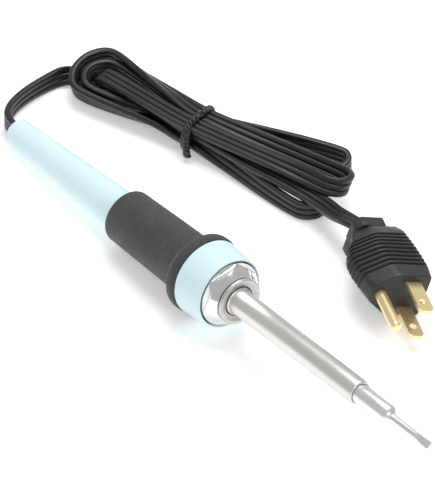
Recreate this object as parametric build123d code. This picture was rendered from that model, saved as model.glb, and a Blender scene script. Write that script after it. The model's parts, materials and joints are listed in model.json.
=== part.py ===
from build123d import *
import math
import os

# Mains soldering iron with a magnetic thermostat, lying on a bench with its cord tied in a hank.
# Millimetres, +Z up.  The iron is built along its own X axis, tail at x = 0 and tip at the far end,
# then laid down with its tail on the bench and its grip flange on the bench.

os.makedirs("parts", exist_ok=True)

# ---------------------------------------------------------------- driving dimensions
# stations along the iron, from the tail end
GRIP_START = 72.7
FLANGE_START = 118.6
COLLAR_START = 124.8
COLLAR_END = 139.4
NUT_FRONT = 144.8
RING_FRONT = 146.6
BARREL_FRONT = 222.7
TIP_SHOULDER = 242.7
TIP_FLAT_START = 257.0
TIP_END = 266.0

# radii
TAIL_R = 6.0
HANDLE_FRONT_R = 8.5
HANDLE_WALL = 1.8
CORE_R = 8.6
GRIP_REAR_R = 11.3
GRIP_FRONT_R = 12.2
FLANGE_R = 16.7
COLLAR_REAR_R = 16.2
COLLAR_FRONT_R = 15.1
COLLAR_BORE_R = 14.2
THREAD_R = 10.0
THREAD_GAP = 0.15
NUT_R = 13.6
NUT_CONE_R = 10.2
RING_R = 9.9
RING_HOLE_R = 6.5
NUT_HOLE_R = 7.1
BARREL_R = 5.25
BARREL_WALL = 0.5
BARREL_FLANGE_R = 9.2
FERRULE_SEAT_R = 5.45
FERRULE_R = 6.05
TIP_R = 4.1
TIP_NECK_R = 1.7
TIP_BLADE_WIDTH = 3.2
TIP_BLADE_THICK = 0.9
HEATER_TUBE_R = 3.75
HEATER_TUBE_BORE_R = 3.45

GAP = 0.3                 # between bodies that move apart
SWITCH_TRAVEL = 1.5
NUT_TRAVEL = 2.0          # the nut's advance over two turns

# flat three-core cord
CORD_WIDTH = 7.8
CORD_THICK = 2.7
CORD_TUBE_D = 5.0         # a round tube with the flat cord's section area
CORD_SLOT_GAP = 0.2
CORE_PITCH = (CORD_WIDTH - CORD_THICK) / 2

# plug: straight two-blade plug with a round ground pin
BLADE_SPACING = 12.7
BLADE_WIDTH = 6.35
BLADE_THICK = 1.52
BLADE_LENGTH = 17.8
BLADE_HOLE_R = 1.6
BLADE_HOLE_FROM_FACE = 11.9
GROUND_OFFSET = 11.9
GROUND_R = 2.415
GROUND_LENGTH = 21.0
PIN_ROOT = 9.0            # how far each pin is buried in the moulding
PLUG_BODY_LENGTH = 37.0
PLUG_LENGTH = 42.0
PLUG_YAW = -20.2
PLUG_ROLL = -18.0
PLUG_FACE_AT = (44.9, 58.5, 12.6)

# the cord's free stretches, as points of their routes; the first starts at the tail's end face,
# the second at the plug's neck
LEAD_ROUTE = [(-139.2, 0.2, 5.6), (-145.0, 5.6, 5.1), (-148.6, 14.8, 4.7), (-150.4, 26.4, 4.1),
              (-150.6, 38.6, 2.7)]
TAIL_ROUTE = [(-3.8, 66.6, 13.8), (-12.2, 67.0, 11.0), (-19.7, 67.9, 9.8), (-29.7, 66.7, 9.4)]

# hank of cord: its own frame has s along the hank and t across it, from the tie
HANK_AT = (-88.3, 57.0)
HANK_YAW = 15.6
HANK_TOP = 13.4
WAIST_HALF_LENGTH = 3.0
WAIST_HALF_WIDTH = 8.7
WAIST_BOTTOM = 1.3
TIE_WALL = 1.1


# ---------------------------------------------------------------- helpers
def turned(points):
    """Solid of revolution about the iron's axis, from (station, radius) points of its outline."""
    outline = Polyline(*[(x, r) for x, r in points], close=True)
    return revolve(make_face(outline), axis=Axis.X)


def sleeve(x0, x1, r_out, r_in):
    return turned([(x0, r_in), (x1, r_in), (x1, r_out), (x0, r_out)])


def rod(x0, x1, r, y=0.0, z=0.0):
    plane = Plane(origin=(x0, y, z), x_dir=(0, 1, 0), z_dir=(1, 0, 0))
    return extrude(plane * Circle(r), amount=x1 - x0)


def block(x0, x1, width, height, y=0.0, z=0.0):
    return Pos((x0 + x1) / 2, y, z) * Box(x1 - x0, width, height)


def handle_r(x):
    return TAIL_R + (HANDLE_FRONT_R - TAIL_R) * x / GRIP_START


def arc_radii(points, share=0.45):
    """The largest corner radius that each corner's two runs allow."""
    radii = []
    for a, b, c in zip(points, points[1:], points[2:]):
        run_in, run_out = Vector(*b) - Vector(*a), Vector(*c) - Vector(*b)
        turn = math.radians(run_in.get_angle(run_out))
        radii.append(share * min(run_in.length, run_out.length) / math.tan(turn / 2))
    return radii


def tube(points, diameter):
    """Straight runs joined by tangent arcs, swept with a round section."""
    path = FilletPolyline(*points, radius=arc_radii(points))
    start = Plane(origin=path @ 0, z_dir=path % 0)
    return sweep(start * Circle(diameter / 2), path=path)


# ---------------------------------------------------------------- handle and grip
def make_handle():
    """One tapered moulding: tail, core under the grip, and the collar in front of the flange."""
    end_round = 1.8
    tail_floor = 9.0
    bore_front = 126.0
    web_front = 131.0
    lip = 0.5
    outer = turned([
        (0, 0), (0, TAIL_R - end_round), (0.5, TAIL_R - 0.6), (end_round, TAIL_R),
        (GRIP_START, HANDLE_FRONT_R), (GRIP_START, CORE_R - 0.05), (COLLAR_START, CORE_R - 0.05),
        (COLLAR_START, COLLAR_REAR_R - 0.7), (COLLAR_START + 0.7, COLLAR_REAR_R),
        (COLLAR_END - lip, COLLAR_FRONT_R), (COLLAR_END, COLLAR_FRONT_R - lip), (COLLAR_END, 0),
    ])
    bore = turned([
        (tail_floor, 0), (tail_floor, handle_r(tail_floor) - HANDLE_WALL),
        (GRIP_START, HANDLE_FRONT_R - HANDLE_WALL), (bore_front, CORE_R - HANDLE_WALL), (bore_front, 0),
    ])
    web_bore = sleeve(bore_front - 1, web_front + 1, THREAD_R, 0)
    mouth = sleeve(web_front, COLLAR_END + 1, COLLAR_BORE_R, 0)
    slot = block(-1, tail_floor + 1, CORD_THICK + CORD_SLOT_GAP, CORD_WIDTH + CORD_SLOT_GAP)
    return outer - bore - web_bore - mouth - slot


def make_grip():
    """Foam sleeve with rounded ends and a rounded flange at its front."""
    edge = 1.4
    neck = 2.6
    return turned([
        (GRIP_START, CORE_R), (GRIP_START, GRIP_REAR_R - edge), (GRIP_START + 0.4, GRIP_REAR_R - 0.4),
        (GRIP_START + edge, GRIP_REAR_R), (FLANGE_START - neck, GRIP_FRONT_R),
        (FLANGE_START - 0.8, GRIP_FRONT_R + 1.0), (FLANGE_START, FLANGE_R - 2.0),
        (FLANGE_START + 0.8, FLANGE_R - 0.7), (FLANGE_START + 2.4, FLANGE_R),
        (COLLAR_START - 1.6, FLANGE_R), (COLLAR_START - 0.3, FLANGE_R - 0.8),
        (COLLAR_START, FLANGE_R - 1.4), (COLLAR_START, CORE_R),
    ])


def make_bushing():
    """Threaded steel bushing pressed into the collar's web; the nut screws on its front."""
    seat_rear = 126.0
    flange = (131.0, 132.2)
    thread_front = 136.8
    heater_seat_r = 8.0
    body = sleeve(seat_rear, thread_front, THREAD_R, heater_seat_r)
    return body + sleeve(*flange, THREAD_R + 2.4, heater_seat_r)


# ---------------------------------------------------------------- nut, barrel and tip
NUT_REAR = 132.6
NUT_WALL_REAR = 139.0


def make_nut():
    """Chromed nut: thread skirt inside the collar, six facets on its cone, and an inner lip."""
    cone = turned([
        (NUT_REAR, THREAD_R + THREAD_GAP), (NUT_REAR, NUT_R), (COLLAR_END + 0.3, NUT_R),
        (NUT_FRONT, NUT_CONE_R), (NUT_FRONT, NUT_HOLE_R), (NUT_WALL_REAR, NUT_HOLE_R),
        (NUT_WALL_REAR, THREAD_R + THREAD_GAP),
    ])
    across_corners = 2 * NUT_R + 0.5
    prism_plane = Plane(origin=(COLLAR_END + 0.3, 0, 0), x_dir=(0, 1, 0), z_dir=(1, 0, 0))
    prism = extrude(prism_plane * RegularPolygon(across_corners / 2, 6, rotation=12), amount=10)
    rear = sleeve(NUT_REAR, COLLAR_END + 0.3, NUT_R, 0)
    return cone & (prism + rear)


def make_nut_ring():
    """Steel ring on the nut's front, dished in towards the barrel."""
    lip = 0.5
    dish = (145.5, 8.5)
    return turned([
        (NUT_FRONT, RING_HOLE_R), (NUT_FRONT, RING_R - 0.35), (NUT_FRONT + 0.35, RING_R),
        (RING_FRONT - lip, RING_R), (RING_FRONT, RING_R - lip), (RING_FRONT, dish[1]),
        (dish[0], RING_HOLE_R),
    ])


BARREL_REAR = 137.2
BARREL_LIP_R = 4.3


def make_barrel():
    """Long steel tube: a flange caught behind the nut's lip, and a mouth rolled in over the tip."""
    bore = BARREL_R - BARREL_WALL
    lip_rear = BARREL_FRONT - 1.0
    return turned([
        (BARREL_REAR, bore), (BARREL_REAR, BARREL_FLANGE_R), (NUT_WALL_REAR - GAP, BARREL_FLANGE_R),
        (NUT_WALL_REAR - GAP, FERRULE_SEAT_R), (RING_FRONT, FERRULE_SEAT_R), (RING_FRONT, BARREL_R),
        (BARREL_FRONT - 0.6, BARREL_R), (BARREL_FRONT, BARREL_R - 0.5),
        (BARREL_FRONT, BARREL_LIP_R), (lip_rear, BARREL_LIP_R), (lip_rear, bore),
    ])


def make_ferrule():
    """Short stiffening ring on the barrel, inside the nut's hole."""
    return turned([
        (140.0, FERRULE_SEAT_R), (140.0, FERRULE_R), (145.6, FERRULE_R), (146.2, FERRULE_R - 0.5),
        (146.2, FERRULE_SEAT_R),
    ])


TIP_FLANGE = (219.6, 221.5)
TIP_SHANK_REAR = 203.0
SENSOR_REAR = 200.0


def make_tip():
    """Plated copper tip: shank, retaining flange, body with a domed shoulder, neck and chisel end."""
    dome = 2.6
    dimple_x = 236.5
    body = turned([
        (TIP_SHANK_REAR, 0), (TIP_SHANK_REAR, 3.1), (TIP_FLANGE[0], 3.1), (TIP_FLANGE[0], 4.55),
        (TIP_FLANGE[1], 4.55), (TIP_FLANGE[1], TIP_R), (TIP_SHOULDER - dome, TIP_R),
        (TIP_SHOULDER - 0.35 * dome, TIP_R - 0.9), (TIP_SHOULDER, TIP_NECK_R + 0.5),
        (TIP_SHOULDER + 0.8, TIP_NECK_R), (TIP_END, TIP_NECK_R), (TIP_END, 0),
    ])
    flat_length = TIP_END - TIP_FLAT_START
    slope = math.degrees(math.atan((TIP_NECK_R - TIP_BLADE_THICK / 2) / flat_length))
    cutters = []
    for side in (1, -1):
        cutter = block(TIP_FLAT_START, TIP_FLAT_START + 40, 12, 10, z=side * (TIP_NECK_R + 5))
        cutters.append(Pos(TIP_FLAT_START, 0, side * TIP_NECK_R) * Rot(Y=side * slope)
                       * Pos(-TIP_FLAT_START, 0, -side * TIP_NECK_R) * cutter)
    chisel = Rot(X=28) * (cutters[0] + cutters[1])
    dimple = Pos(dimple_x, 0, TIP_R) * Cylinder(0.5, 1.6)
    return body - chisel - Rot(X=30) * dimple


def make_sensor():
    """Ferromagnetic slug on the shank's rear end, which lets go of the magnet when it is hot."""
    return rod(SENSOR_REAR, TIP_SHANK_REAR, 3.0)


# ---------------------------------------------------------------- heater
HEATER_REAR = 124.0
HEATER_FRONT = 218.5


def make_heater_tube():
    return sleeve(HEATER_REAR, HEATER_FRONT, HEATER_TUBE_R, HEATER_TUBE_BORE_R)


def make_mica_inner():
    return sleeve(166.0, 217.0, HEATER_TUBE_R + 0.15, HEATER_TUBE_R)


def make_heater_winding():
    """Resistance ribbon wound on the mica, as one ribbed sleeve."""
    start, pitch, turns = 170.0, 2.8, 15
    inner = HEATER_TUBE_R + 0.15
    outline = [(start, inner)]
    for i in range(turns):
        x = start + i * pitch
        outline += [(x, inner + 0.35), (x + 0.7 * pitch, inner + 0.35)]
        outline += [(x + 0.7 * pitch, inner + 0.12), (x + pitch, inner + 0.12)]
    outline += [(start + turns * pitch, inner)]
    return turned(outline)


def make_mica_outer():
    inner = HEATER_TUBE_R + 0.5
    return sleeve(166.0, 217.0, inner + 0.12, inner)


def make_heater_mount():
    """Steel sleeve that carries the heater tube in the bushing's bore."""
    return sleeve(126.0, 136.0, 8.0, HEATER_TUBE_R)


# ---------------------------------------------------------------- magnetic switch
SWITCH = (88.0, 112.0)
SWITCH_WALL_REAR = 108.0
BRIDGE = (103.9, 104.9)
ROD_R = 0.8
MAGNET = (190.0, SENSOR_REAR - GAP)


def make_switch_housing():
    """Round housing with two flats, which leave room for the wires that pass it."""
    body = rod(*SWITCH, 6.4)
    cavity = rod(SWITCH[0] - 1, SWITCH_WALL_REAR, 5.2)
    rod_bore = rod(SWITCH_WALL_REAR - 1, SWITCH[1] + 1, ROD_R + GAP)
    flats = [block(SWITCH[0] - 1, SWITCH[1] + 1, 20, 10, z=side * 9.5) for side in (1, -1)]
    contact_holes = [rod(SWITCH_WALL_REAR - 1, SWITCH[1] + 1, 0.9, y=side * 3.4) for side in (1, -1)]
    return body - cavity - rod_bore - flats - contact_holes


def make_switch_cover():
    return (rod(SWITCH[0] - 1.5, SWITCH[0], 6.4) - block(80, 90, 20, 10, z=9.5)
            - block(80, 90, 20, 10, z=-9.5))


def make_fixed_contacts():
    studs = []
    for side in (1, -1):
        stud = rod(BRIDGE[1] + 0.35, SWITCH[1] + 2.0, 0.9, y=side * 3.4)
        face = rod(BRIDGE[1] + 0.05, BRIDGE[1] + 0.6, 1.3, y=side * 3.4)
        studs.append(stud + face)
    return Compound(children=studs)


def make_contact_bridge():
    return block(*BRIDGE, 9.4, 3.0) - rod(BRIDGE[0] - 1, BRIDGE[1] + 1, ROD_R)


def make_plunger_rod():
    return rod(101.8, MAGNET[0], ROD_R) - magnet_pin()


def make_rod_clip():
    return sleeve(102.6, BRIDGE[0], 1.9, ROD_R)


def magnet_pin():
    return rod(MAGNET[0] - 2.0, MAGNET[0] + 1, ROD_R / 2)


def make_magnet():
    return rod(*MAGNET, 2.9) + magnet_pin()


def make_magnet_guide():
    return sleeve(186.0, MAGNET[0], 3.1, ROD_R)


def make_return_spring():
    """Light coil spring between the housing's front wall and the contact bridge."""
    wire_r = 0.22
    coil_r = 1.75
    length = SWITCH_WALL_REAR - BRIDGE[1] - 2 * wire_r - 0.1
    turns = 3
    helix = Helix(pitch=length / turns, height=length, radius=coil_r, center=(0, 0, 0), direction=(0, 0, 1))
    coil = sweep(Plane(origin=helix @ 0, z_dir=helix % 0) * Circle(wire_r), path=helix, is_frenet=True)
    return Pos(BRIDGE[1] + wire_r + 0.05, 0, 0) * Rot(Y=90) * coil


# ---------------------------------------------------------------- cord inside the handle, and its wires
CORD_END_INSIDE = 40.0
CLAMP = (26.0, 36.0)


def flat_section_solid(x0, x1):
    """The flat cord's section between two stations, on edge: three round cores, one above the other."""
    cores = [rod(x0, x1, CORD_THICK / 2, z=i * CORE_PITCH) for i in (-1, 0, 1)]
    webs = block(x0, x1, CORD_THICK * 0.55, 2 * CORE_PITCH)
    return cores[0] + cores[1] + cores[2] + webs


def make_clamp_half(side):
    body = rod(*CLAMP, handle_r(CLAMP[0]) - HANDLE_WALL - 0.1)
    half = block(CLAMP[0] - 1, CLAMP[1] + 1, 10, 20, y=side * 5)
    return (body & half) - flat_section_solid(CLAMP[0] - 2, CLAMP[1] + 2)


def make_wires():
    """Line wire to the switch, neutral and ground wires past its flats."""
    wire_d = 1.5
    start = CORD_END_INSIDE + 0.1
    line = tube([(start, 0, 0), (52, 3.0, 0.2), (66, 3.6, 0), (SWITCH[0] - 1.5, 3.4, 0)], wire_d)
    neutral = tube([(start, 0, CORE_PITCH), (54, 0.4, 3.0), (70, 0, 4.6), (86, 0, 5.55), (116, 0.3, 5.5),
                    (HEATER_REAR - 0.2, 0, 4.5)], wire_d)
    ground = tube([(start, 0, -CORE_PITCH), (54, -0.8, -3.0), (70, -0.4, -4.4), (86, 0, -5.55),
                   (116, -0.3, -5.6), (HEATER_REAR + 1.9, 0, -5.5)], wire_d)
    return line, neutral, ground


# ---------------------------------------------------------------- plug
# the moulding's sections: distance behind the face, nose and back in y, half height
PLUG_SECTIONS = [(0.0, -16.3, 6.6, 9.3), (8.0, -18.2, 7.4, 9.7), (14.0, -19.0, 7.8, 9.9),
                 (20.0, -18.2, 7.7, 9.7), (31.0, -13.8, 6.9, 7.9), (37.0, -12.0, 6.1, 5.3)]
BEND_SHARE = 0.62         # how far from back to nose the sides stay parallel
NOSE_SHARE = 0.34         # the nose's height against the back's


def plug_section(back_from_face, nose, back, half):
    """Plug outline across its pins: two square corners, and a side narrowing to the ground pin."""
    bend = back + BEND_SHARE * (nose - back)
    flat = NOSE_SHARE * half
    outline = [(back, -half), (back, half), (bend, half), (nose, flat), (nose, -flat), (bend, -half)]
    plane = Plane(origin=(-back_from_face, 0, 0), x_dir=(0, 1, 0), z_dir=(1, 0, 0))
    return plane * make_face(Polyline(*outline, close=True))


def make_plug_pins():
    blades = []
    for side in (1, -1):
        blade = block(-PIN_ROOT, BLADE_LENGTH, BLADE_WIDTH, BLADE_THICK, z=side * BLADE_SPACING / 2)
        ends = blade.edges().filter_by(Axis.Z).group_by(Axis.X)[-1]
        blade = chamfer(ends, 1.4)
        hole = Pos(BLADE_HOLE_FROM_FACE, 0, side * BLADE_SPACING / 2) * Cylinder(BLADE_HOLE_R, 5)
        blades.append(blade - hole)
    ground = rod(0, GROUND_LENGTH, GROUND_R, y=-GROUND_OFFSET)
    ground = fillet(ground.edges().group_by(Axis.X)[-1], 1.6)
    ground = ground + rod(-PIN_ROOT, 0, GROUND_R - 0.25, y=-GROUND_OFFSET)
    return blades[0], blades[1], ground


CORD_ENTRY_Y = -6.0
NECK_SPAN_Y = (-11.2, 1.6)
NECK_HEIGHT = 10.8
FIN_SPAN_Y = (-10.8, -8.8)
FIN_LOW_Z = -11.2


def make_plug_body(pins):
    """Ribbed moulding as plain lofts, the block behind it, and the block's thin hanging edge."""
    body = None
    for front, rear in zip(PLUG_SECTIONS, PLUG_SECTIONS[1:]):
        piece = loft([plug_section(*front), plug_section(*rear)], ruled=True)
        body = piece if body is None else body + piece
    neck_y = sum(NECK_SPAN_Y) / 2
    neck_width = NECK_SPAN_Y[1] - NECK_SPAN_Y[0]
    neck = block(-PLUG_LENGTH, -PLUG_BODY_LENGTH + 0.2, neck_width, NECK_HEIGHT, y=neck_y)
    fin = block(-PLUG_LENGTH, -PLUG_BODY_LENGTH - 0.2, FIN_SPAN_Y[1] - FIN_SPAN_Y[0], -FIN_LOW_Z,
                y=sum(FIN_SPAN_Y) / 2, z=FIN_LOW_Z / 2)
    body = body + neck + fin
    for pin in pins:
        body = body - pin
    return body


# ---------------------------------------------------------------- hank and tie
def hank_prism(points, z0, z1):
    return extrude(Pos(0, 0, z0) * make_face(Polyline(*points, close=True)), amount=z1 - z0)


def make_hank():
    """Outer shape of the tied hank: a narrow waist in the tie, and a lobe of loops at each end."""
    lobe_left = hank_prism([
        (-WAIST_HALF_LENGTH, -8.9), (-20, -11.6), (-38, -13), (-52, -11.5), (-61, -6), (-65, 2), (-64, 10),
        (-58, 16.5), (-48, 18.5), (-30, 17), (-WAIST_HALF_LENGTH, 9.6)], 0, HANK_TOP)
    lobe_right = hank_prism([
        (WAIST_HALF_LENGTH, 9.6), (16, 16.5), (36, 24.5), (52, 28.5), (60, 27), (66, 20), (72, 11), (74, 2),
        (73, -7), (67, -12.5), (54, -14.5), (36, -13.6), (16, -10), (WAIST_HALF_LENGTH, -8.9)], 0, HANK_TOP)
    waist = Pos(0, 0, (WAIST_BOTTOM + HANK_TOP) / 2) * Box(
        2 * WAIST_HALF_LENGTH, 2 * WAIST_HALF_WIDTH, HANK_TOP - WAIST_BOTTOM)
    return lobe_left + waist + lobe_right


def make_tie():
    """Twist tie round the waist, with its two ends twisted into a short tail on the near side."""
    band_half = 1.5
    band = Pos(0, 0, (WAIST_BOTTOM + HANK_TOP) / 2) * (
        Box(2 * band_half, 2 * (WAIST_HALF_WIDTH + TIE_WALL), HANK_TOP - WAIST_BOTTOM + 2 * TIE_WALL)
        - Box(2 * band_half + 1, 2 * WAIST_HALF_WIDTH, HANK_TOP - WAIST_BOTTOM))
    tail = Pos(0, -WAIST_HALF_WIDTH - TIE_WALL - 1.2, 7.0) * Rot(X=8) * Cylinder(1.4, 10)
    return band + tail


# ---------------------------------------------------------------- the iron's nodes
def iron_nodes():
    line, neutral, ground = make_wires()
    return {
        "handle": make_handle(),
        "foam_grip": make_grip(),
        "threaded_bushing": make_bushing(),
        "barrel_nut": make_nut(),
        "nut_front_ring": make_nut_ring(),
        "barrel": make_barrel(),
        "barrel_ferrule": make_ferrule(),
        "tip": make_tip(),
        "tip_sensor": make_sensor(),
        "heater_mount": make_heater_mount(),
        "heater_tube": make_heater_tube(),
        "heater_mica_inner": make_mica_inner(),
        "heater_winding": make_heater_winding(),
        "heater_mica_outer": make_mica_outer(),
        "switch_housing": make_switch_housing(),
        "switch_cover": make_switch_cover(),
        "fixed_contacts": make_fixed_contacts(),
        "contact_bridge": make_contact_bridge(),
        "bridge_clip": make_rod_clip(),
        "plunger_rod": make_plunger_rod(),
        "plunger_guide": make_magnet_guide(),
        "switch_magnet": make_magnet(),
        "return_spring": make_return_spring(),
        "cord_clamp_far": make_clamp_half(1),
        "cord_clamp_near": make_clamp_half(-1),
        "cord_inner_end": flat_section_solid(0, CORD_END_INSIDE),
        "line_wire": line,
        "neutral_wire": neutral,
        "ground_wire": ground,
    }


def main():
    tilt = math.degrees(math.atan((FLANGE_R - TAIL_R) / (COLLAR_START - 2.5)))
    lying = {name: Rot(Y=-tilt) * solid for name, solid in iron_nodes().items()}
    boxes = [lying[name].bounding_box() for name in ("handle", "foam_grip", "tip")]
    x_mid = (min(b.min.X for b in boxes) + max(b.max.X for b in boxes)) / 2
    on_bench = Pos(-x_mid, 0, -min(b.min.Z for b in boxes))
    nodes = {name: on_bench * solid for name, solid in lying.items()}

    at_plug = Pos(*PLUG_FACE_AT) * Rot(Z=PLUG_YAW) * Rot(X=PLUG_ROLL)
    pins = make_plug_pins()
    nodes["plug_body"] = at_plug * make_plug_body(pins)
    for name, pin in zip(("plug_blade_line", "plug_blade_neutral", "plug_ground_pin"), pins):
        nodes[name] = at_plug * pin

    at_hank = Pos(*HANK_AT, 0) * Rot(Z=HANK_YAW)
    nodes["cord_hank"] = at_hank * make_hank()
    nodes["cord_tie"] = at_hank * make_tie()

    tail_exit = (on_bench * Rot(Y=-tilt)).position
    neck_end = (at_plug * Pos(-PLUG_LENGTH, CORD_ENTRY_Y, 0)).position
    lead = tube([tuple(tail_exit)] + LEAD_ROUTE, CORD_TUBE_D)
    run_out = tube([tuple(neck_end)] + TAIL_ROUTE, CORD_TUBE_D)
    nodes["power_cord_lead"] = lead - nodes["cord_hank"] - nodes["handle"] - nodes["cord_inner_end"]
    nodes["power_cord_plug_end"] = run_out - nodes["cord_hank"] - nodes["plug_body"]

    for name, solid in nodes.items():
        export_step(solid, os.path.join("parts", name + ".step"))


main()
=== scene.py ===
import json
import math
import bpy
import numpy as np
from mathutils import Matrix, Vector


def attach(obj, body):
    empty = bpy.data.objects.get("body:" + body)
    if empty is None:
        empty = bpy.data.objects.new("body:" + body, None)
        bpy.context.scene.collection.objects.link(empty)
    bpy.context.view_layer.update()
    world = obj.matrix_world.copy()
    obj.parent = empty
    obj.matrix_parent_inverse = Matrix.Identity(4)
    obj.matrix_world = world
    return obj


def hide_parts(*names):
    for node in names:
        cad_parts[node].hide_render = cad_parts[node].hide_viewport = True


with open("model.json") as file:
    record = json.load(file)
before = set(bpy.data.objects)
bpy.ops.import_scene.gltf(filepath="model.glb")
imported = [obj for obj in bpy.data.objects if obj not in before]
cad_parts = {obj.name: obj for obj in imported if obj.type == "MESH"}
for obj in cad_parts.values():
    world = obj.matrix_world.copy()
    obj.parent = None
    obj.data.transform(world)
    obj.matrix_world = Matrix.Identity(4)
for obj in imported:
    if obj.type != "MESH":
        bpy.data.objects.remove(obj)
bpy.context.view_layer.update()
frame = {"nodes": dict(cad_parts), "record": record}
MM = 0.001

# ---------------------------------------------------------------- driving dimensions, in millimetres
# stations along the iron from its tail, and radii, as the CAD model has them
GRIP_START, FLANGE_START = 72.7, 118.6
COLLAR_START, COLLAR_END = 124.8, 139.4
NUT_FRONT, RING_FRONT = 144.8, 146.6
BARREL_FRONT, TIP_SHOULDER, TIP_FLAT_START, TIP_END = 222.7, 242.7, 257.0, 266.0
TAIL_R, HANDLE_FRONT_R, CORE_R = 6.0, 8.5, 8.6
GRIP_REAR_R, GRIP_FRONT_R, FLANGE_R = 11.3, 12.2, 16.7
COLLAR_REAR_R, COLLAR_FRONT_R, COLLAR_BORE_R = 16.2, 15.1, 14.2
THREAD_R, NUT_R, NUT_CONE_R, NUT_HOLE_R = 10.0, 13.6, 10.2, 7.1
RING_R, RING_HOLE_R, DISH_X, DISH_R = 9.9, 6.5, 145.5, 8.5
BARREL_R, BARREL_WALL, BARREL_FLANGE_R, BARREL_LIP_R = 5.25, 0.5, 9.2, 4.3
FERRULE_SEAT_R, FERRULE_R = 5.45, 6.05
TIP_R, TIP_NECK_R, TIP_BLADE_THICK = 4.1, 1.7, 0.9
TIP_TURN, DIMPLE_TURN, DIMPLE_X = 28.0, 30.0, 236.5

# flat three-core cord
CORD_WIDTH, CORD_THICK = 7.8, 2.7
CORE_PITCH = (CORD_WIDTH - CORD_THICK) / 2

# plug, in its own frame: x out along the pins, y away from the ground pin
PLUG_FACE_AT = (44.9, 58.5, 12.6)
PLUG_YAW, PLUG_ROLL = -20.2, -18.0
PLUG_BODY_LENGTH, PLUG_LENGTH, CORD_ENTRY_Y = 37.0, 42.0, -6.0

# hank of cord, in its own frame: s along the hank and t across it, from the tie
HANK_AT = (-88.3, 57.0)
HANK_YAW = 15.6


def mount(name):
    return next(m for m in frame["record"]["mounts"] if m["name"] == name)


BARREL_MOUNT_X = 184.0
IRON_AXIS = Vector(mount("barrel_outside")["axis"]).normalized()
TAIL_END = Vector(mount("barrel_outside")["pos_m"]) - IRON_AXIS * BARREL_MOUNT_X * MM
IRON_TILT = math.asin(IRON_AXIS.z)
IRON_PLACE = Matrix.Translation(TAIL_END) @ Matrix.Rotation(-IRON_TILT, 4, "Y")
PLUG_PLACE = (Matrix.Translation(Vector(PLUG_FACE_AT) * MM)
              @ Matrix.Rotation(math.radians(PLUG_YAW), 4, "Z")
              @ Matrix.Rotation(math.radians(PLUG_ROLL), 4, "X"))
HANK_PLACE = (Matrix.Translation(Vector((*HANK_AT, 0)) * MM)
              @ Matrix.Rotation(math.radians(HANK_YAW), 4, "Z"))

# ---------------------------------------------------------------- camera
CAMERA_AZIMUTH, CAMERA_ELEVATION = 52.51, 41.65
CAMERA_DISTANCE = 5.0
CAMERA_LENS = 1059.0
LOOK_AT = Vector((-11.5, 7.93, 25.4)) * MM


def make_camera():
    azimuth, elevation = math.radians(CAMERA_AZIMUTH), math.radians(CAMERA_ELEVATION)
    outward = Vector((math.sin(azimuth) * math.cos(elevation),
                      -math.cos(azimuth) * math.cos(elevation), math.sin(elevation)))
    data = bpy.data.cameras.new("camera")
    data.sensor_fit = "HORIZONTAL"
    data.sensor_width = 36.0
    data.lens = CAMERA_LENS
    data.clip_end = 20.0
    camera = bpy.data.objects.new("camera", data)
    camera.location = LOOK_AT + outward * CAMERA_DISTANCE
    camera.rotation_euler = (-outward).to_track_quat("-Z", "Y").to_euler()
    bpy.context.scene.collection.objects.link(camera)
    bpy.context.scene.camera = camera


make_camera()


# ---------------------------------------------------------------- modelling helpers
def only(obj):
    """Leaves one object active and selected, in object mode."""
    if bpy.context.object and bpy.context.object.mode != "OBJECT":
        bpy.ops.object.mode_set(mode="OBJECT")
    bpy.ops.object.select_all(action="DESELECT")
    obj.select_set(True)
    bpy.context.view_layer.objects.active = obj


def start_point(name, point):
    """A new mesh object that is one vertex, in edit mode, ready to be extruded."""
    bpy.ops.object.select_all(action="DESELECT")
    bpy.ops.mesh.primitive_plane_add(size=1.0)
    obj = bpy.context.object
    obj.name = obj.data.name = name
    bpy.ops.object.mode_set(mode="EDIT")
    bpy.ops.mesh.select_mode(type="VERT")
    bpy.ops.mesh.select_all(action="SELECT")
    bpy.ops.mesh.merge(type="CENTER")
    bpy.ops.transform.translate(value=point)
    return obj


def draw_line(points):
    """Extrudes the selected vertex along the points, which are in metres."""
    for a, b in zip(points, points[1:]):
        bpy.ops.mesh.extrude_vertices_move(TRANSFORM_OT_translate={"value": b - a})


def apply(obj, kind, **settings):
    only(obj)
    modifier = obj.modifiers.new(kind.lower(), kind)
    for key, value in settings.items():
        setattr(modifier, key, value)
    bpy.ops.object.modifier_apply(modifier=modifier.name)


def cut(obj, cutter, operation="DIFFERENCE"):
    apply(obj, "BOOLEAN", object=cutter, operation=operation, solver="EXACT")
    bpy.data.objects.remove(cutter)


def round_edges(obj, width, segments=3, angle=30.0):
    apply(obj, "BEVEL", width=width * MM, segments=segments, limit_method="ANGLE",
          angle_limit=math.radians(angle), use_clamp_overlap=True, harden_normals=False)


def place(obj, matrix, smooth_angle=35.0):
    """Puts the piece in the row frame, with its place in its mesh, and smooths it."""
    only(obj)
    obj.matrix_world = matrix @ obj.matrix_world
    bpy.ops.object.transform_apply(location=True, rotation=True, scale=True)
    bpy.ops.object.shade_smooth_by_angle(angle=math.radians(smooth_angle))
    return obj


def turned(name, profile, steps=96):
    """Spins a (station, radius) outline about the iron's own axis, in the iron's frame."""
    points = [Vector((x, 0, r)) * MM for x, r in profile]
    obj = start_point(name, points[0])
    draw_line(points)
    bpy.ops.mesh.select_all(action="SELECT")
    bpy.ops.mesh.spin(steps=steps, angle=2 * math.pi, center=(0, 0, 0), axis=(1, 0, 0))
    bpy.ops.mesh.select_all(action="SELECT")
    bpy.ops.mesh.remove_doubles(threshold=0.002 * MM)
    bpy.ops.mesh.normals_make_consistent(inside=False)
    bpy.ops.object.mode_set(mode="OBJECT")
    return obj


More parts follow.
